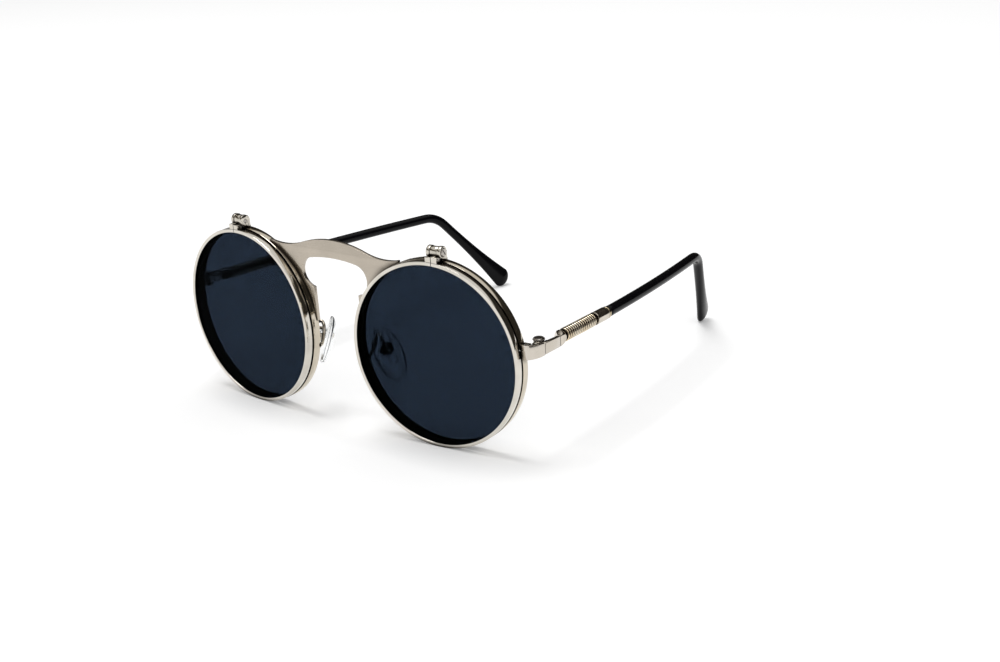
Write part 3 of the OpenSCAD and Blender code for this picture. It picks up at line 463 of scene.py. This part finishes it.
def coreSolid():
    t = temple
    wide, tall = t["barThick"] / 2, (t["barHigh"] - t["barLow"]) / 2
    barX, barZ = t["outer"] - wide, (t["barHigh"] + t["barLow"]) / 2
    coreX, r = t["outer"] - t["core"] / 2, t["core"] / 2
    places, squares = [], []

    def addRow(y, x, z, halfX, halfZ, square=2.0):
        places.append(ringPlace(Vector((x, y, z)), backWay, outWay, halfX, halfZ))
        squares.append(square)

    block = [(t["blockFrom"] + y, share, full) for y, share, full in t["blockFront"]]
    block += [(t["blockFrom"] + t["turnFrom"] + share * t["turnLong"], share, 1.0) for share in t["turnShares"]]
    block += [(t["coilFrom"] + y, share, full) for y, share, full in t["blockBack"]]
    for y, share, full in block:
        addRow(y, barX + (coreX - barX) * share, barZ * (1 - share), (wide + (r - wide) * share) * full,
               (tall + (r - tall) * share) * full, t["square"] - t["squareLoss"] * share ** t["squareFade"])
    rodEnd = t["coilFrom"] + t["coilLong"]
    for y in (t["coilFrom"], rodEnd):
        addRow(y, coreX, 0, t["rod"] / 2, t["rod"] / 2)
    for y, share in t["shoulderFront"]:
        addRow(rodEnd + y, coreX, 0, r * share, r * share)
    for y, loss in t["shoulderBack"]:
        addRow(rodEnd + (t["shoulder"] - y), coreX, 0, r - loss, r - loss)
    bm = bmesh.new()
    loft(bm, places, t["sides"], squares)
    pin = ringPlace(Vector((barX, t["blockFrom"] + t["tenonFrom"], barZ)), backWay, outWay,
                    t["tenon"] / 2, t["tenon"] / 2)
    loft(bm, [pin, shift(0, t["tenonLong"], 0) @ pin], t["tenonSides"])
    return bm


coil = {"wire": 0.52, "turns": 15, "startAngle": 200.0, "stepsPerTurn": 30, "bendStep": 15, "sides": 12}


def coilSolid():
    wire = coil["wire"]
    radius = temple["core"] / 2 - wire / 2
    coreX = temple["outer"] - temple["core"] / 2
    run = temple["coilLong"] - 4 * wire
    line = coil["turns"] * 2 * math.pi * radius
    steps = coil["stepsPerTurn"] * coil["turns"]

    def bendRound(around, along, angles):  # from along the rod to round it, or back
        return [(around + wire * math.cos(math.radians(a)), along + wire * math.sin(math.radians(a)))
                for a in angles]

    flat = [(0.0, 0.0), (0.0, wire * 0.5)]  # length round the rod, length along it
    flat += bendRound(wire, wire, range(180, 90, -coil["bendStep"]))
    flat += [(wire + line * s / steps, 2 * wire + run * s / steps) for s in range(0, steps + 1)]
    flat += bendRound(wire + line, 3 * wire + run, range(coil["bendStep"] - 90, 1, coil["bendStep"]))
    flat += [(2 * wire + line, temple["coilLong"] - wire * 0.5), (2 * wire + line, temple["coilLong"])]
    path, sideWays = [], []
    for around, along in flat:
        a = math.radians(coil["startAngle"]) + around / radius
        path.append(Vector((coreX + radius * math.cos(a), temple["coilFrom"] + along, radius * math.sin(a))))
        sideWays.append(Vector((math.cos(a), 0, math.sin(a))))
    bm = bmesh.new()
    sweep(bm, path, (wire / 2, wire / 2), coil["sides"], sideWays, (backWay, backWay))
    return bm


# ---- ear tips: bowed sleeve, bend, leg and rounded paddle
tip = {
    "sleeveFrom": 32.65, "sleeve": 3.1, "bendAt": 97.7, "sleeveTurn": 1.5, "bow": 600.0, "bendLong": 5.0,
    "drop": 46.3, "legToe": 22.2, "leg": 31.33, "paddleWide": 7.16, "paddleThick": 2.98,
    "paddleRound": 2.96, "paddleSwell": 2.2, "frontLoss": 0.12, "frontRound": 0.14,
    "steps": (28, 14, 16), "roundAngles": (12, 24, 36, 47, 57, 66, 74, 81, 87), "sides": 32,
}
drop, legToe = math.radians(tip["drop"]), math.radians(tip["legToe"])
legWay = Vector((-math.sin(legToe) * math.cos(drop), math.cos(legToe) * math.cos(drop), -math.sin(drop)))


def sleevePoint(y):
    run = y - tip["sleeveFrom"]
    coreX = temple["outer"] - temple["core"] / 2
    return Vector((coreX - run * math.tan(math.radians(tip["sleeveTurn"])) - run ** 2 / (2 * tip["bow"]), y, 0))


def tipSolid():
    t = tip
    sleeveSteps, bendSteps, legSteps = t["steps"]
    half = t["sleeve"] / 2
    corner = sleevePoint(t["bendAt"])
    straightEnd = t["bendAt"] - t["bendLong"]
    bendStart, bendEnd = sleevePoint(straightEnd), corner + legWay * t["bendLong"]
    path = [sleevePoint(t["sleeveFrom"] + s * (straightEnd - t["sleeveFrom"]) / sleeveSteps)
            for s in range(sleeveSteps)]
    path += [(1 - s) ** 2 * bendStart + 2 * s * (1 - s) * corner + s ** 2 * bendEnd
             for s in [k / bendSteps for k in range(bendSteps)]]
    path += [bendEnd + legWay * t["leg"] * k / legSteps for k in range(legSteps + 1)]
    halves = [(half, half)] * (sleeveSteps + bendSteps)
    for share in [k / legSteps for k in range(legSteps + 1)]:
        halves.append((half + (t["paddleThick"] - t["sleeve"]) / 2 * share,
                       half + (t["paddleWide"] - t["sleeve"]) / 2 * share ** t["paddleSwell"]))
    end = path[-1]
    for swept in [math.radians(a) for a in t["roundAngles"]]:
        path.append(end + legWay * t["paddleRound"] * math.sin(swept))
        halves.append((t["paddleThick"] / 2 * math.cos(swept), t["paddleWide"] / 2 * math.cos(swept)))
    halves[0] = (half - t["frontLoss"], half - t["frontLoss"])
    path.insert(1, path[0] + backWay * t["frontRound"])
    halves.insert(1, (half, half))
    bm = bmesh.new()
    sweep(bm, path, halves, t["sides"], outWay, (backWay, legWay))
    return bm


for sideName, side in sides:
    body, sloped = "temple_" + sideName, slopedFrame(side)
    finishPiece("templeCore_" + sideName, coreSolid(), sloped, body, "core_metal", "temple_core_" + sideName)
    finishPiece("templeCoil_" + sideName, coilSolid(), sloped, body, "coil_metal", "temple_coil_" + sideName,
                sharp=60)
    finishPiece("earTip_" + sideName, tipSolid(), sloped, body, "black_tip", "ear_tip_" + sideName, sharp=50)
print("temples made")

# ---- screws: slotted heads, the temple hinge's head knurled; each place is from what carries the screw
screws = {
    "templeScrew": {"head": 3.3, "high": 0.6, "shank": 1.2, "long": 3.3, "slot": 0.45, "knurls": 26,
                    "place": (0, 0, 1.65), "slotTurn": 25},
    "flipPin": {"head": 2.4, "high": 0.35, "shank": 1.0, "long": 4.3, "slot": 0.35, "knurls": 0,
                "place": (2.15, 0, 0), "slotTurn": 35},
    "lockScrew": {"head": 1.1, "high": 0.3, "shank": 0.8, "long": 3.6, "slot": 0.2, "knurls": 0,
                  "place": (1.8, 1.0, 26.75), "slotTurn": 70},
    "padScrew": {"head": 1.26, "high": 0.45, "shank": 0.7, "long": 3.6, "slot": 0.2, "knurls": 0,
                 "place": (2.8, -1.8, 1.7), "slotTurn": 20},
}
# shares of a head's height and radius, and the rounding of its edges
screwShape = {"low": 0.55, "upper": 0.45, "cutAbove": 0.54, "waist": 0.93, "top": 0.8, "crispFrom": 55,
              "round": 0.12, "roundMost": 0.06, "overlap": 0.01, "sides": 40, "shankSides": 32}


def between(bm, kept):  # the kept vertices, and the edges and faces that lie between them
    return [g for g in [*bm.verts, *bm.edges, *bm.faces]
            if (g in kept if isinstance(g, bmesh.types.BMVert) else all(v in kept for v in g.verts))]


def screwSolid(size):  # shank below z 0, head above
    s = screwShape
    bm = bmesh.new()
    radius, high, shank = size["head"] / 2, size["high"], size["shank"] / 2
    count = size["knurls"] * 2 if size["knurls"] else s["sides"]
    low = bmesh.ops.create_cone(bm, cap_ends=True, segments=count, radius1=radius, radius2=radius,
                                depth=high * s["low"], matrix=shift(0, 0, high * s["low"] / 2))["verts"]
    if size["knurls"]:
        ridges = [v for v in low if round(math.atan2(v.co.y, v.co.x) / (2 * math.pi) * count) % 2]
        bmesh.ops.scale(bm, vec=(s["waist"], s["waist"], 1), verts=ridges)
    half = bmesh.ops.create_cone(bm, cap_ends=True, segments=s["sides"], radius1=radius * s["waist"],
                                 radius2=radius * s["top"], depth=high * s["upper"],
                                 matrix=shift(0, 0, high * (s["low"] + s["upper"] / 2)))["verts"]
    cut = bmesh.ops.bisect_plane(bm, geom=between(bm, set(half)), plane_co=(0, size["slot"] / 2, 0),
                                 plane_no=(0, 1, 0), clear_inner=True)["geom_cut"]
    bmesh.ops.contextual_create(bm, geom=[g for g in cut if isinstance(g, bmesh.types.BMEdge)])
    lower = set(low)
    upper = {v for v in bm.verts if v.co.z > high * s["cutAbove"] and v not in lower}
    bmesh.ops.mirror(bm, geom=between(bm, upper), matrix=Matrix.Identity(4), merge_dist=-1, axis="Y")
    roundEdges(bm, crispEdges(bm, s["crispFrom"]), min(s["roundMost"], high * s["round"]))
    bmesh.ops.create_cone(bm, cap_ends=True, segments=s["shankSides"], radius1=shank, radius2=shank,
                          depth=size["long"], matrix=shift(0, 0, -size["long"] / 2 + s["overlap"]))
    return bm


for sideName, side in sides:
    fittings = {  # what carries each screw, how its head faces, its body and the node that it stands for
        "templeScrew": (templeFrame(side), Matrix.Identity(4), "front", "temple_screw_"),
        "flipPin": (hingeFrame(side), turn(90, "Y"), "front", "flip_pin_"),
        "lockScrew": (lensFrame(side) @ shift(stance["hingeOut"], 0, 0), turn(90, "Y"), "flip_" + sideName,
                      "flip_lock_screw_"),
        "padScrew": (padFrame(side), turn(90, "X"), "front", "pad_screw_"),
    }
    for screwName, (carrier, facing, body, nodeName) in fittings.items():
        size = screws[screwName]
        place = carrier @ shift(*size["place"]) @ facing @ turn(size["slotTurn"], "Z")
        finishPiece(screwName + "_" + sideName, screwSolid(size), place, body, "screw_steel",
                    nodeName + sideName)
print("screws made")

# ---- nose pads: soft clear shell, its insert and stem, on a bent wire
pad = {"long": 15.5, "wide": 8.0, "thick": 3.0, "backShare": 0.3, "screwOut": screws["padScrew"]["place"][0],
       "screwUp": screws["padScrew"]["place"][2], "fullness": 0.4, "lengthShare": 0.995, "around": 40,
       "rings": 28}
stem = {  # distance behind the pad's middle, half width, half height, squareness
    "rows": ((0.5, 1.7, 2.6, 2), (0.75, 1.35, 2.0, 2.4), (1.0, 1.15, 1.1, 4), (1.6, 1.12, 0.82, 6),
             (2.6, 1.12, 0.8, 6), (3.1, 1.1, 0.72, 5), (3.4, 1.02, 0.52, 4), (3.55, 0.9, 0.25, 4)),
    "sides": 32,
}
insert = {"middle": 0.15, "halfThick": 0.2, "halfWide": 1.15, "halfTall": 1.9, "around": 32, "rings": 20}
# the wire runs from its foot on the rim, over its bends, straight into the box: out, back, up from the lens
arm = {
    "foot": (25.65, 4.9, -5.2), "leave": 1.0, "pastScrew": 1.3, "straight": 0.9, "radius": 0.5,
    "bends": ((-24.7, 7.2, -3), (-24.3, 8, -0.6), (-23.4, 8.1, 0.5), (-22.2, 7.6, 0.2), (-21, 6.9, -1.3)),
    "solder": (0.42, 0.3, 0.2, 0.12, 0.07, 0.03), "sideWay": (0.2, 0.1, 1), "steps": 10, "sides": 20,
}


def padSolid():
    bm = bmesh.new()
    bmesh.ops.create_uvsphere(bm, u_segments=pad["around"], v_segments=pad["rings"], radius=1)
    backThick = pad["thick"] * pad["backShare"]
    for v in bm.verts:  # fuller than an egg, nearly flat behind
        round2 = max(0.0, 1 - v.co.z ** 2)
        full = round2 ** pad["fullness"] / max(1e-6, round2 ** 0.5)
        v.co = Vector(((backThick if v.co.x > 0 else pad["thick"] - backThick) * v.co.x * full,
                       pad["wide"] / 2 * v.co.y * full, pad["long"] / 2 * v.co.z * pad["lengthShare"]))
    return bm


def stemSolid():
    bm = bmesh.new()
    loft(bm, [ringPlace(Vector((x, 0, pad["screwUp"])), outWay, backWay, halfY, halfZ)
              for x, halfY, halfZ in [row[:3] for row in stem["rows"]]], stem["sides"],
         [row[3] for row in stem["rows"]])
    return bm


def insertSolid():
    bm = bmesh.new()
    bmesh.ops.create_uvsphere(bm, u_segments=insert["around"], v_segments=insert["rings"], radius=1)
    for v in bm.verts:
        v.co = Vector((insert["middle"] + insert["halfThick"] * v.co.x, insert["halfWide"] * v.co.y,
                       pad["screwUp"] + insert["halfTall"] * v.co.z))
    return bm


def armPath():
    far, deep, up = arm["foot"]
    foot = Vector((-math.sqrt(far ** 2 - up ** 2), deep, up))
    inLens = lensFrame(1).inverted() @ padFrame(1)
    end = inLens @ Vector((pad["screwOut"] + arm["pastScrew"], 0, pad["screwUp"]))
    way = (inLens @ Vector((0, 0, 0)) - inLens @ outWay).normalized()
    knots = [foot, foot + backWay * arm["leave"], *[Vector(k) for k in arm["bends"]],
             end - way * arm["straight"], end]
    path = []
    for i in range(len(knots) - 1):  # one smooth curve through the knots
        a, b, c, d = (knots[max(0, min(len(knots) - 1, i + k))] for k in (-1, 0, 1, 2))
        for s in [k / arm["steps"] for k in range(arm["steps"])]:
            path.append(0.5 * (2 * b + s * (c - a) + s ** 2 * (2 * a - 5 * b + 4 * c - d)
                               + s ** 3 * (3 * b - a - 3 * c + d)))
    return path + [end], way


def armSolid():
    path, way = armPath()
    radii = [arm["radius"] + swell for swell in arm["solder"]]  # solder round the foot
    radii += [arm["radius"]] * (len(path) - len(radii))
    bm = bmesh.new()
    sweep(bm, path, [(r, r) for r in radii], arm["sides"], Vector(arm["sideWay"]), (backWay, way))
    return bm


for sideName, side in sides:
    body = "pad_" + sideName
    finishPiece("padArm_" + sideName, armSolid(), lensFrame(side), "front", "pad_metal", "pad_arm_" + sideName)
    finishPiece("nosePad_" + sideName, padSolid(), padFrame(side), body, "pad_silicone", "nose_pad_" + sideName)
    finishPiece("padStem_" + sideName, stemSolid(), padFrame(side), body, "pad_silicone")
    finishPiece("padInsert_" + sideName, insertSolid(), padFrame(side), body, "pad_metal")
print("nose pads made")

# ---- every node of the frame gets its finish, also the ones that a piece stands for
slotOf = {"bridge_plate": "plate_metal", "rear_rim": "rear_rim_metal", "rear_lens": "clear_lens",
          "end_piece": "strip_metal", "rear_lock": "strip_metal", "hinge_fork": "hinge_metal",
          "flip_base": "hinge_metal", "pad_arm": "pad_metal", "pad_box": "pad_metal",
          "flip_rim": "flip_rim_metal", "flip_lens": "tinted_lens", "flip_leaf": "hinge_metal",
          "flip_lock": "hinge_metal", "hinge_tongue": "hinge_metal", "temple_bar": "strip_metal",
          "temple_core": "core_metal", "temple_coil": "coil_metal", "temple_collar": "collar_metal",
          "temple_wire": "core_metal", "ear_tip": "black_tip", "nose_pad": "pad_silicone"}
for nodeName, node in nodes.items():
    plain = nodeName.replace("_left", "").replace("_right", "")
    for slot in node.material_slots:
        slot.material = materials[slotOf.get(plain, "screw_steel")]
print("nodes finished")

# ---- studio in metres: pale floor, a soft lamp almost overhead, a weaker one from the front right
studio = {"floorSize": 3.0, "floorTone": 0.93, "floorRough": 0.9, "floorLift": 0.19, "roomLight": 0.50,
          "key": {"spot": (-0.5, -0.05, 2.4), "size": 1.1, "power": 27.0},
          "fill": {"spot": (1.8, -1.4, 1.8), "size": 1.4, "power": 6.4}, "aim": (0, -0.02, 0.02),
          "card": {"radius": 0.9, "low": 0.004, "high": 0.70, "from": -40.0, "sweep": 215.0, "steps": 40,
                   "tone": (0.02, 0.016, 0.011, 1)},
          # what camera, metal and glass see of the room, by height: white at the table, dark walls,
          # pale ceiling
          "room": ((0.30, (1, 1, 1, 1)), (0.38, (0.12, 0.10, 0.07, 1)), (0.60, (0.07, 0.06, 0.045, 1)),
                   (0.67, (0.8, 0.79, 0.77, 1)), (0.98, (0.9, 0.9, 0.9, 1)))}
bm = bmesh.new()
bmesh.ops.create_grid(bm, x_segments=1, y_segments=1, size=studio["floorSize"])
floor = newObject("studioFloor", bm)
paper = bpy.data.materials.new("floor paper")
paper.use_nodes = True
paperTree = paper.node_tree
paperShader = paperTree.nodes["Principled BSDF"]
paperShader.inputs["Base Color"].default_value = (studio["floorTone"],) * 3 + (1,)
paperShader.inputs["Roughness"].default_value = studio["floorRough"]
paperShader.inputs["Specular IOR Level"].default_value = 0.0
paperShader.inputs["Emission Color"].default_value = (1, 1, 1, 1)


def seenRays(tree):  # what the camera, metal and glass see
    path = tree.nodes.new("ShaderNodeLightPath")
    shown = addMath(tree, "MAXIMUM", path.outputs["Is Camera Ray"], path.outputs["Is Glossy Ray"])
    return addMath(tree, "MAXIMUM", shown, path.outputs["Is Transmission Ray"])


paperTree.links.new(addMath(paperTree, "MULTIPLY", seenRays(paperTree), studio["floorLift"]),
                    paperShader.inputs["Emission Strength"])
floor.data.materials.append(paper)

# a dark card curved round the back, for the metal's dark side: only reflections see it
card = studio["card"]
bm = bmesh.new()
rising = [bm.verts.new((card["radius"], 0, z)) for z in (card["low"], card["high"])]
bmesh.ops.spin(bm, geom=[*rising, bm.edges.new(rising)], cent=(0, 0, 0), axis=(0, 0, 1),
               angle=math.radians(card["sweep"]), steps=card["steps"], use_merge=False)
bmesh.ops.transform(bm, matrix=turn(card["from"], "Z"), verts=bm.verts)
darkCard = newObject("darkCard", bm)
darkCard.visible_camera = False
darkCard.visible_diffuse = False
darkCard.visible_transmission = False
darkCard.visible_shadow = False
felt = bpy.data.materials.new("card felt")
felt.use_nodes = True
felt.node_tree.nodes["Principled BSDF"].inputs["Base Color"].default_value = card["tone"]
felt.node_tree.nodes["Principled BSDF"].inputs["Roughness"].default_value = 1.0
darkCard.data.materials.append(felt)

world = bpy.data.worlds.new("studioRoom")
bpy.context.scene.world = world
world.use_nodes = True
roomTree = world.node_tree
direction = roomTree.nodes.new("ShaderNodeTexCoord").outputs["Generated"]
split = roomTree.nodes.new("ShaderNodeSeparateXYZ")
roomTree.links.new(direction, split.inputs[0])
height = roomTree.nodes.new("ShaderNodeValToRGB")
roomTree.links.new(split.outputs["Z"], height.inputs["Fac"])
ramp = height.color_ramp
lowest, *walls, highest = studio["room"]
for step, (place, colour) in zip(ramp.elements, (lowest, highest)):
    step.position, step.color = place, colour
for place, colour in walls:
    ramp.elements.new(place).color = colour
plainRoom = (studio["roomLight"],) * 3 + (1,)
roomTree.links.new(addMix(roomTree, seenRays(roomTree), plainRoom, height.outputs["Color"]),
                   roomTree.nodes["Background"].inputs["Color"])

for lampName in ("key", "fill"):
    lamp = studio[lampName]
    lampData = bpy.data.lights.new(lampName + "Light", "AREA")
    lampData.energy = lamp["power"]
    lampData.size = lamp["size"]
    lampObject = bpy.data.objects.new(lampName + "Light", lampData)
    facing = (Vector(studio["aim"]) - Vector(lamp["spot"])).to_track_quat("-Z", "Y")
    lampObject.matrix_world = Matrix.Translation(lamp["spot"]) @ facing.to_matrix().to_4x4()
    bpy.context.scene.collection.objects.link(lampObject)
bpy.context.scene.view_settings.view_transform = "Standard"
print("studio ready")
